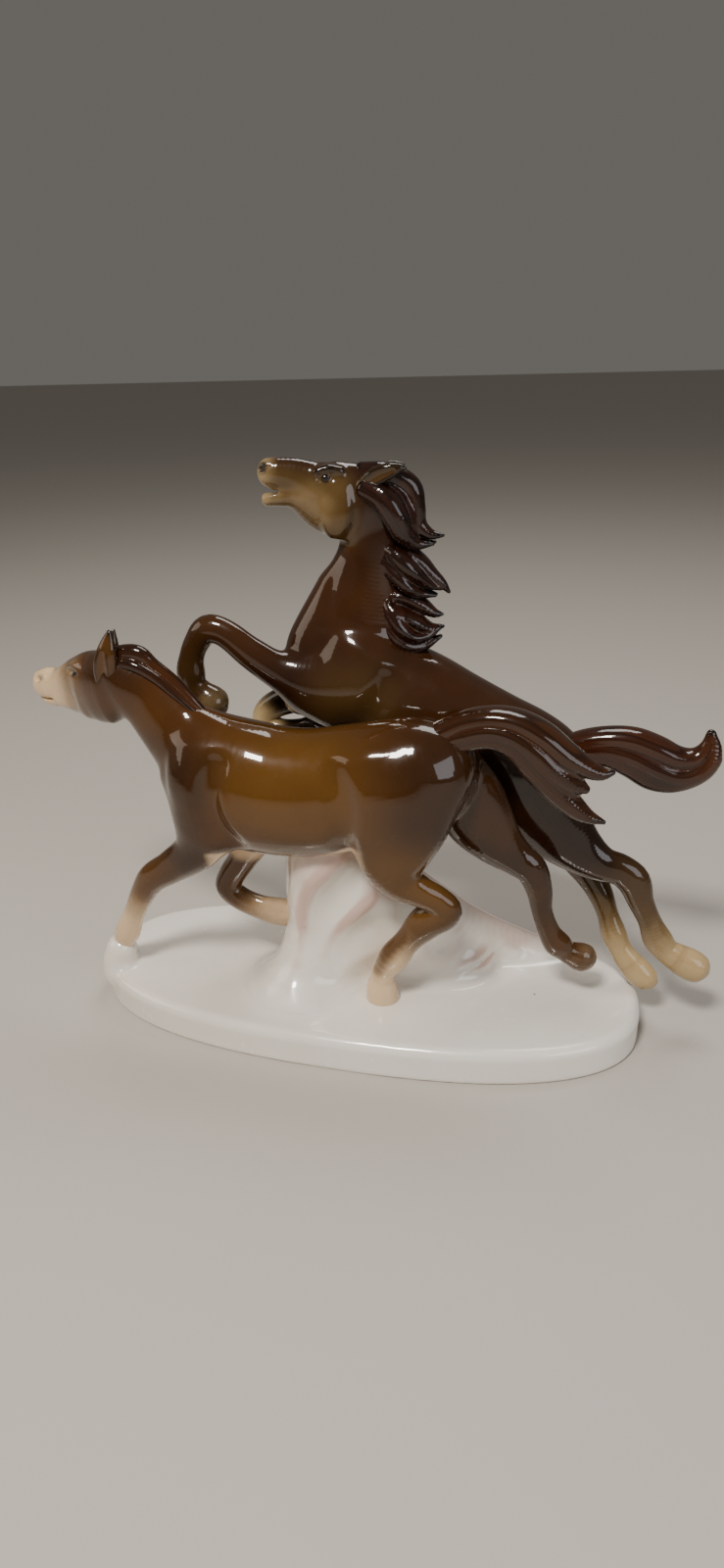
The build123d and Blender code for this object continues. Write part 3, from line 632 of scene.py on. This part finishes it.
def pieces_of(mesh, cuts, rest):
    """Cuts a closed mesh at its seats. cuts is {piece: (seat, direction, radius, seed)}, in mm, and rest
    names what is left. Every piece is closed with a flat cap, and keeps the whole body's shading."""
    bm = bmesh.new()
    bm.from_mesh(mesh)
    cut_seats(bm, cuts)
    owner = owners_of(bm, cuts, rest)
    bm.verts.index_update()
    bm.normal_update()
    points = np.array([v.co for v in bm.verts]) / MM
    normals = np.array([v.normal for v in bm.verts])
    pairs = np.array([(e.verts[0].index, e.verts[1].index) for e in bm.edges])
    bend = bend_of(points, pairs, normals)
    groups = {}
    for face in bm.faces:
        groups.setdefault(owner[face.index], []).append(face)
    made = {}
    for piece, faces in groups.items():
        rings = [[v.index for v in f.verts] for f in faces] + caps_of(faces)
        used = sorted({i for ring in rings for i in ring})
        place = {old: new for new, old in enumerate(used)}
        rings = [[place[i] for i in ring] for ring in rings]
        made[piece] = finished_mesh(piece, points[used], rings, len(faces), normals[used], bend[used])
    bm.free()
    return made


def finished_mesh(name, points, rings, skin, normals, bend):
    """A piece's mesh: the first skin faces are shaded smoothly, and the rest are flat caps."""
    mesh = bpy.data.meshes.new(name)
    mesh.from_pydata((points * MM).tolist(), [], rings)
    mesh.polygons.foreach_set("use_smooth", [index < skin for index in range(len(rings))])
    mesh.validate()
    corners = np.empty(len(mesh.loops), np.int32)
    mesh.loops.foreach_get("vertex_index", corners)
    shading = normals[corners]
    for polygon in mesh.polygons[skin:]:
        shading[polygon.loop_start:polygon.loop_start + polygon.loop_total] = polygon.normal
    mesh.normals_split_custom_set(shading.tolist())
    mark(mesh, "bend", bend)
    return mesh


def mark(mesh, name, values):
    """Stores one number per point for the glazes to read."""
    layer = mesh.attributes.new(name, "FLOAT", "POINT")
    layer.data.foreach_set("value", np.asarray(values, np.float32))


def points_of(mesh):
    flat = np.empty(len(mesh.vertices) * 3, np.float32)
    mesh.vertices.foreach_get("co", flat)
    return flat.reshape(-1, 3) / MM


def from_tip(points, stations):
    """How far each point is from a limb's tip, measured along the limb, in mm."""
    samples = smooth_curve(stations)
    steps = np.linalg.norm(np.diff(samples[:, :3], axis=0), axis=1)
    left = np.concatenate((steps[::-1].cumsum()[::-1], [0]))
    gaps = ((points[:, None, :] - samples[None, :, :3])**2).sum(2)
    return left[gaps.argmin(1)]


def combed(points, strands):
    """The way across the hair at each point, in mm, so that the glaze can lie in combed lines."""
    centres = []
    across = []
    for strand in strands:
        samples = smooth_curve(strand)[:, :3]
        along = np.gradient(samples, axis=0)
        depth = np.cross(along, (0, 1, 0))
        centres.append(samples)
        across.append(depth / np.linalg.norm(depth, axis=1)[:, None])
    centres = np.concatenate(centres)
    across = np.concatenate(across)
    nearest = ((points[:, None, :] - centres[None])**2).sum(2).argmin(1)
    outward = np.abs(points[:, 1] - points[:, 1].mean())
    return ((points - centres[nearest]) * across[nearest]).sum(1) + 0.35 * outward


# the seats where the castings meet, as pieces_of takes them
MARE_CUTS = {
    "mare_head_neck": ((-61, -16, 112), (-0.8, 0, 0.6), 24, (-110, 0, 130)),
    "mare_left_foreleg": ((-60, -23.4, 68), (-0.75, 0, -0.66), 12, (-95, -18, 20)),
    "mare_right_foreleg": ((-41.4, -7.4, 65.5), (-0.4, 0, -0.92), 9, (-30, -6, 36)),
    "mare_left_hindleg": ((19.4, -25.4, 74.5), (0.15, 0, -1), 15, (13, -20, 20)),
    "mare_right_hindleg": ((50, -7.8, 81), (0.62, 0, -0.78), 14.5, (84, 0, 27)),
}
STALLION_CUTS = {
    "stallion_head_neck": ((-3.5, 17, 143), (-0.1, 0, 1), 25, (-20, 10, 203)),
    "stallion_left_foreleg": ((-36, 5.6, 136.6), (-0.85, 0, 0.52), 9, (-55, 6, 115)),
    "stallion_right_foreleg": ((-29, 26.8, 115), (-0.94, 0, -0.34), 8.5, (-45, 27, 107)),
    "stallion_left_hindleg": ((84, 8, 67.4), (0.87, 0, -0.49), 10.5, (125, 8, 25)),
    "stallion_right_hindleg": ((76.6, 21.2, 63.4), (0.54, -0.18, -0.82), 9, (108, 10.5, 14)),
}
# the plane under the stump also frees the pad, so the pad's own seat lies clear of the clay
BASE_CUTS = {
    "support_stump": ((0, 0, PLINTH_TOP + 1.2), (0, 0, 1), 400, (-5, -20, 55)),
    "forehoof_pad": ((0, 0, -60), (0, 0, 1), 1, (-98, -11, 22)),
}


# ---------------- glazes

def node(tree, kind, inputs=None, **settings):
    made = tree.nodes.new(kind)
    for key, value in settings.items():
        setattr(made, key, value)
    for key, value in (inputs or {}).items():
        if isinstance(value, bpy.types.NodeSocket):
            tree.links.new(value, made.inputs[key])
        else:
            made.inputs[key].default_value = value
    return made


def mix(tree, factor, first, second, how="MIX"):
    made = node(tree, "ShaderNodeMix", {0: factor, 6: first, 7: second}, data_type="RGBA", blend_type=how)
    return made.outputs[2]


def span(tree, value, low, high, start=0.0, end=1.0):
    made = node(tree, "ShaderNodeMapRange", {0: value, 1: low, 2: high, 3: start, 4: end},
                interpolation_type="SMOOTHSTEP")
    return made.outputs[0]


def noise(tree, where, scale, detail=2.0, roughness=0.5):
    made = node(tree, "ShaderNodeTexNoise", {"Vector": where, "Scale": scale, "Detail": detail,
                                             "Roughness": roughness})
    return made.outputs["Fac"]


def attribute(tree, name):
    return node(tree, "ShaderNodeAttribute", attribute_name=name).outputs["Fac"]


def product(tree, first, second):
    return node(tree, "ShaderNodeMath", {0: first, 1: second}, operation="MULTIPLY").outputs[0]


def colour(*rgb):
    """An sRGB colour, 0 to 255, as linear light."""
    return (*[(c / 255 / 12.92) if c < 10.3 else ((c / 255 + 0.055) / 1.055)**2.4 for c in rgb], 1.0)


def glaze(name, deep, middle, light, thin, tip, hair=False):
    """A glossy airbrushed glaze over white porcelain. deep, middle and light are its sprayed tones, thin is
    what shows on sharp ridges, and tip is the tone of hooves and muzzles."""
    material = bpy.data.materials.new(name)
    material.use_nodes = True
    tree = material.node_tree
    shader = tree.nodes["Principled BSDF"]
    where = node(tree, "ShaderNodeTexCoord").outputs["Object"]
    cloud = noise(tree, where, 22, 3, 0.55)
    breath = noise(tree, where, 60, 4, 0.6)
    speck = noise(tree, where, 900, 2, 0.7)
    tone = mix(tree, span(tree, cloud, 0.3, 0.72), deep, middle)
    tone = mix(tree, attribute(tree, "glow"), tone, light)
    tone = mix(tree, product(tree, span(tree, breath, 0.42, 0.75), 0.3), tone, middle)
    tone = mix(tree, attribute(tree, "shade"), tone, deep)
    # the glaze pools in hollows and runs thin over ridges
    bend = attribute(tree, "bend")
    tone = mix(tree, span(tree, bend, -0.08, -0.5, 0, 0.8), tone, deep, "MULTIPLY")
    ridge = product(tree, span(tree, bend, 0.42, 0.95), span(tree, breath, 0.3, 0.6, 0.45, 1.0))
    tone = mix(tree, ridge, tone, thin)
    pale = attribute(tree, "pale")
    frayed = node(tree, "ShaderNodeMath", {0: breath, 1: -0.5}, operation="ADD").outputs[0]
    frayed = node(tree, "ShaderNodeMath", {0: frayed, 1: 0.5, 2: pale}, operation="MULTIPLY_ADD").outputs[0]
    tone = mix(tree, span(tree, frayed, 0.12, 0.9), tone, tip)
    tone = mix(tree, product(tree, span(tree, speck, 0.62, 0.8), 0.25), tone, deep, "MULTIPLY")
    tone = mix(tree, attribute(tree, "ink"), tone, colour(14, 8, 7))
    tree.links.new(tone, shader.inputs["Base Color"])
    finish = span(tree, noise(tree, where, 130, 3, 0.6), 0.3, 0.75, 0.16, 0.34)
    tree.links.new(finish, shader.inputs["Roughness"])
    tree.links.new(span(tree, breath, 0.3, 0.7, 0.02, 0.07), shader.inputs["Coat Roughness"])
    shader.inputs["Coat Weight"].default_value = 1.0
    shader.inputs["Coat IOR"].default_value = 1.5
    shader.inputs["Specular IOR Level"].default_value = 0.08
    height = node(tree, "ShaderNodeMath", {0: noise(tree, where, 160, 2, 0.5), 1: 0.15, 2: cloud},
                  operation="MULTIPLY_ADD").outputs[0]
    bump = node(tree, "ShaderNodeBump", {"Height": height, "Strength": 0.12, "Distance": 0.0006})
    if hair:
        strands = node(tree, "ShaderNodeTexNoise",
                       {"W": attribute(tree, "comb"), "Scale": 0.9, "Detail": 2.0}, noise_dimensions="1D")
        lines = strands.outputs["Fac"]
        tree.links.new(mix(tree, span(tree, lines, 0.55, 0.35, 0, 0.6), tone, deep, "MULTIPLY"),
                       shader.inputs["Base Color"])
        bump = node(tree, "ShaderNodeBump", {"Height": lines, "Strength": 0.22, "Distance": 0.0006,
                                             "Normal": bump.outputs[0]})
    tree.links.new(bump.outputs[0], shader.inputs["Normal"])
    tree.links.new(bump.outputs[0], shader.inputs["Coat Normal"])
    return material


def porcelain(name):
    """White glazed porcelain, faintly warm and cloudy, with a few kiln specks, and a painted pinkish shade
    in the stump's hollows.
    """
    material = bpy.data.materials.new(name)
    material.use_nodes = True
    tree = material.node_tree
    shader = tree.nodes["Principled BSDF"]
    where = node(tree, "ShaderNodeTexCoord").outputs["Object"]
    cloud = noise(tree, where, 14, 3, 0.5)
    tone = mix(tree, span(tree, cloud, 0.35, 0.7), colour(234, 226, 214), colour(243, 238, 229))
    bend = attribute(tree, "bend")
    # painted pinkish shade in the concave folds, where the glow mark allows it
    painted_pink_shade = product(tree, span(tree, bend, -0.008, -0.09, 0, 0.8), attribute(tree, "glow"))
    tone = mix(tree, painted_pink_shade, tone, colour(202, 163, 149))
    grain = node(tree, "ShaderNodeTexVoronoi", {"Vector": where, "Scale": 60.0, "Randomness": 1.0})
    dot = span(tree, grain.outputs["Distance"], 0.035, 0.012)
    rare = span(tree, noise(tree, where, 45, 1, 0.5), 0.6, 0.66)
    tone = mix(tree, product(tree, dot, rare), tone, colour(96, 74, 60))
    tree.links.new(tone, shader.inputs["Base Color"])
    finish = span(tree, noise(tree, where, 80, 3, 0.6), 0.3, 0.75, 0.14, 0.3)
    tree.links.new(finish, shader.inputs["Roughness"])
    shader.inputs["Coat Weight"].default_value = 1.0
    shader.inputs["Coat Roughness"].default_value = 0.04
    shader.inputs["Coat IOR"].default_value = 1.52
    shader.inputs["Subsurface Weight"].default_value = 0.12
    shader.inputs["Subsurface Radius"].default_value = (1.0, 0.7, 0.5)
    shader.inputs["Subsurface Scale"].default_value = 0.0015
    height = node(tree, "ShaderNodeMath", {0: noise(tree, where, 110, 2, 0.5), 1: 0.15, 2: cloud},
                  operation="MULTIPLY_ADD").outputs[0]
    bump = node(tree, "ShaderNodeBump", {"Height": height, "Strength": 0.25, "Distance": 0.0012})
    tree.links.new(bump.outputs[0], shader.inputs["Normal"])
    tree.links.new(bump.outputs[0], shader.inputs["Coat Normal"])
    return material


# the deep, middle, light, thin and tip tones of each brown glaze
TONES = {
    "mare_coat_glaze": ((42, 23, 8), (74, 43, 14), (94, 62, 20), (186, 142, 96), (216, 186, 148)),
    "mare_hair_glaze": ((50, 26, 10), (84, 46, 16), (112, 68, 26), (120, 82, 50), (170, 124, 78)),
    "stallion_coat_glaze": ((38, 19, 8), (62, 35, 14), (90, 69, 36), (150, 112, 74), (178, 152, 110)),
    "stallion_hair_glaze": ((42, 20, 12), (82, 42, 18), (112, 64, 28), (104, 74, 48), (140, 104, 68)),
}
GLAZES = {"white_glaze": porcelain("white_glaze")}
for name, tones in TONES.items():
    GLAZES[name] = glaze(name, *[colour(*tone) for tone in tones], hair=name.endswith("hair_glaze"))


# ---------------- painting

def near(points, centre, inner, outer):
    """1 within inner mm of centre, fading to 0 at outer mm."""
    return smoothstep(outer, inner, np.linalg.norm(points - np.array(centre, float), axis=1))


# how far up each leg the pale tip reaches: fully pale, and gone, in mm from the tip, and its strength
LEG_TIPS = {
    "mare_left_foreleg": (16, 52, 1.0), "mare_right_foreleg": (2, 44, 0.55),
    "mare_left_hindleg": (10, 50, 0.95), "mare_right_hindleg": (0, 16, 0.3),
    "stallion_left_foreleg": (0, 20, 0.3), "stallion_right_foreleg": (0, 24, 0.4),
    "stallion_left_hindleg": (4, 42, 0.85), "stallion_right_hindleg": (4, 48, 0.9),
}
CORONET = 9.5    # mm from a hoof's tip
# eyes and nostrils, left and right
MARE_EYES = ((-98, -11.6, 133.6), (-93, -1.6, 133.6))
MARE_NOSTRILS = ((-122.6, 2.6, 125.2), (-124.8, 10.4, 125.2))
STALLION_EYES = ((-8.5, 7.4, 197.2), (-11.8, 18.8, 197.2))
STALLION_NOSTRILS = ((-29, 4.4, 201), (-30, 11, 201))


def spots(points, centres, inner, outer):
    """Like near, for the nearest of several centres."""
    return np.max([near(points, centre, inner, outer) for centre in centres], axis=0)


def leg_tones(piece, p):
    """The glow and the pale tip of a leg."""
    full, gone, strength = LEG_TIPS[piece]
    legs = MARE_LEGS if piece in MARE_LEGS else STALLION_LEGS
    left = from_tip(p, legs[piece])
    glow = 0.8 * strength * smoothstep(gone + 30, full + 14, left)
    pale = strength * smoothstep(gone, full, left)
    if piece != "mare_right_foreleg":
        pale -= 0.14 * smoothstep(2, 0.4, np.abs(left - CORONET))
    if piece == "mare_left_hindleg":
        # a darker stripe down the cannon
        stripe = [(18 - 7 * t, -23 + 3 * t, 46 - 17 * t) for t in np.linspace(0, 1, 7)]
        pale -= 0.6 * spots(p, stripe, 0.5, 6.5)
    if piece == "stallion_right_foreleg":
        pale = 0.9 * near(p, (-44, 27, 106), 5, 15)
    return glow, pale


def mare_tones(p):
    """Glow, shade and paleness over the mare's body, whichever piece the points are on."""
    x, z = p[:, 0], p[:, 2]
    high = smoothstep(90, 110, z)
    glow = 0.9 * near(p, (-12, -34, 100), 12, 46) * smoothstep(72, 92, z)
    glow += 0.8 * near(p, (24, -30, 70), 8, 26)
    glow += 0.75 * smoothstep(-88, -108, x) * high
    glow += 0.4 * near(p, (-70, -24, 112), 4, 22)
    shade = 0.75 * smoothstep(8, 34, x) * smoothstep(78, 98, z)
    shade += 0.5 * smoothstep(-36, -56, x) * smoothstep(126, 112, z) * smoothstep(76, 88, z)
    shade += 0.7 * smoothstep(126, 138, z) * smoothstep(-98, -84, x) * smoothstep(-60, -76, x)
    pale = (0.4 * smoothstep(-84, -108, x) + 0.6 * smoothstep(-103, -119, x)) * high
    # bare edge of the belly above the stump
    belly = np.interp(x, (-50, -37, -24, -10, 4, 17), (74, 73, 72, 73, 78.5, 84))
    along = smoothstep(-50, -44, x) * smoothstep(14, 4, x)
    pale += 0.8 * smoothstep(4.5, 1.5, z - belly) * along * smoothstep(60, 68, z)
    return glow, shade, pale


def stallion_tones(p):
    """Glow, shade and paleness over the stallion's body, whichever piece the points are on."""
    x, z = p[:, 0], p[:, 2]
    glow = 0.85 * smoothstep(6, -6, x) * smoothstep(170, 182, z) * smoothstep(204, 198, z)
    glow += 0.4 * near(p, (0, 0, 120), 6, 26)
    shade = 0.7 * smoothstep(194, 201, z) * smoothstep(-28, -12, x)
    shade += 0.6 * smoothstep(-4, 6, x) * smoothstep(160, 175, z)
    shade += 0.6 * smoothstep(20, 60, x) * smoothstep(60, 90, z)
    pale = 0.6 * smoothstep(-20, -31, x) * smoothstep(170, 185, z)
    pale += 0.3 * near(p, (-14, 6, 188), 5, 14)
    return glow, shade, pale


def paint(piece, mesh):
    """Marks the airbrushed tones: glow for the lighter brown, shade for the darkest, pale for the tips and
    ink for the eyes. On the white base, glow says where the hollows get a painted pinkish shade."""
    p = points_of(mesh)
    x, z = p[:, 0], p[:, 2]
    glow = np.zeros(len(p))
    shade = np.zeros(len(p))
    pale = np.zeros(len(p))
    ink = np.zeros(len(p))
    if piece in LEG_TIPS:
        glow, pale = leg_tones(piece, p)
    if piece.startswith(("mare", "stallion")):
        more_glow, shade, more_pale = mare_tones(p) if piece.startswith("mare") else stallion_tones(p)
        glow = glow + more_glow
        pale = pale + more_pale
    else:
        # on the white base, where the painted pinkish shade of the hollows may fall
        glow = smoothstep(PLINTH_TOP + 0.6, PLINTH_TOP + 3, z) * smoothstep(90, 80, np.abs(x))
    if piece == "stallion_tail":
        glow += 0.7 * smoothstep(104, 124, x)
    if piece == "mare_head_neck":
        ink = np.maximum(spots(p, MARE_EYES, 1.2, 2.6), 0.55 * spots(p, MARE_NOSTRILS, 0.8, 2))
    if piece == "stallion_head_neck":
        ink = np.maximum(spots(p, STALLION_EYES, 0.8, 2), 0.9 * spots(p, STALLION_NOSTRILS, 1.3, 2.8))
    # the stallion's locks are darkened with painted shadow; the mare's mane is darkened to its own deeper
    # brown
    if piece.endswith("mane"):
        shade += 0.8 if piece.startswith("stallion") else 0.5
    if piece.endswith("ear"):
        shade *= 0.3
        glow += 0.5
    if glaze_of(piece).endswith("hair_glaze"):
        mark(mesh, "comb", combed(p, SEPARATE[piece]))
    for name, values in (("glow", glow), ("shade", shade), ("pale", pale), ("ink", ink)):
        mark(mesh, name, np.clip(values, 0, 1))


def glaze_of(piece):
    if not piece.startswith(("mare", "stallion")):
        return "white_glaze"
    part = "hair" if piece.endswith(("mane", "tail")) else "coat"
    return f"{piece.split('_')[0]}_{part}_glaze"


# ---------------- assembly

meshes = {}
meshes.update(pieces_of(model_mare().mesh("mare"), MARE_CUTS, "mare_torso"))
meshes.update(pieces_of(model_stallion().mesh("stallion"), STALLION_CUTS, "stallion_torso"))
meshes.update(pieces_of(model_base().mesh("base"), BASE_CUTS, "plinth"))
for piece in SEPARATE:
    meshes.update(pieces_of(model_strands(piece).mesh(piece), {}, piece))

for piece, mesh in meshes.items():
    paint(piece, mesh)
    mesh.name = piece + "_glazed"
    thing = bpy.data.objects.new(piece + "_glazed", mesh)
    bpy.context.scene.collection.objects.link(thing)
    mesh.materials.append(GLAZES[glaze_of(piece)])
    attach(thing, "root")
    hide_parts(piece)


# ---------------- floor and light

FLOOR_REACH = 6.0   # m, from the middle to each side
FLOOR_COLOUR = (0.5, 0.465, 0.42, 1)

floor_mesh = bpy.data.meshes.new("floor")
floor_corners = [(x, y, 0) for x, y in ((-1, -1), (1, -1), (1, 1), (-1, 1))]
floor_mesh.from_pydata([Vector(corner) * FLOOR_REACH for corner in floor_corners], [], [(0, 1, 2, 3)])
floor = bpy.data.objects.new("floor", floor_mesh)
bpy.context.scene.collection.objects.link(floor)
floor_material = bpy.data.materials.new("pale_floor")
floor_material.use_nodes = True
floor_shader = floor_material.node_tree.nodes["Principled BSDF"]
floor_shader.inputs["Base Color"].default_value = FLOOR_COLOUR
floor_shader.inputs["Roughness"].default_value = 0.7
floor.data.materials.append(floor_material)

world = bpy.data.worlds.new("studio")
bpy.context.scene.world = world
world.use_nodes = True
background = world.node_tree.nodes["Background"]
background.inputs["Color"].default_value = (1, 0.95, 0.87, 1)
background.inputs["Strength"].default_value = 0.14


def softbox(name, place, aim, size, power, tint):
    """A rectangular light at a place, turned to an aim, in m and W."""
    light = bpy.data.lights.new(name, "AREA")
    light.shape = "RECTANGLE"
    light.size, light.size_y = size
    light.energy = power
    light.color = tint
    lamp = bpy.data.objects.new(name, light)
    lamp.location = place
    lamp.rotation_euler = (Vector(aim) - Vector(place)).to_track_quat("-Z", "Y").to_euler()
    bpy.context.scene.collection.objects.link(lamp)


softbox("key", (-0.1, -0.55, 0.85), (0, 0, 0.08), (0.2, 0.14), 9, (1, 0.95, 0.88))
softbox("side", (-0.75, -0.25, 0.45), (0, 0, 0.1), (0.5, 0.4), 1.3, (1, 0.86, 0.7))
softbox("fill", (0.75, -0.6, 0.4), (0, 0, 0.08), (0.5, 0.5), 2.2, (0.92, 0.95, 1))
softbox("back", (0.1, 0.38, 0.95), (0, 0, 0.1), (0.5, 0.3), 3.6, (1, 0.97, 0.93))

# ---------------- camera

CAMERA_PLACE = (0.0847, -0.3073, 0.2388)
CAMERA_AZIMUTH = 15.0       # degrees, from looking along +Y towards -X
CAMERA_DOWN = 24.6          # degrees below level
CAMERA_ROLL = -1.92
CAMERA_LENS = 22.5          # mm, on a 36 mm long side

camera_data = bpy.data.cameras.new("camera")
camera_data.sensor_fit = "AUTO"
camera_data.sensor_width = 36
camera_data.lens = CAMERA_LENS
camera_data.clip_start = 0.01
camera = bpy.data.objects.new("camera", camera_data)
turn = (Matrix.Rotation(math.radians(CAMERA_AZIMUTH), 4, "Z")
        @ Matrix.Rotation(math.radians(90 - CAMERA_DOWN), 4, "X")
        @ Matrix.Rotation(math.radians(CAMERA_ROLL), 4, "Z"))
camera.matrix_world = Matrix.Translation(CAMERA_PLACE) @ turn
bpy.context.scene.collection.objects.link(camera)
bpy.context.scene.camera = camera

bpy.context.view_layer.update()
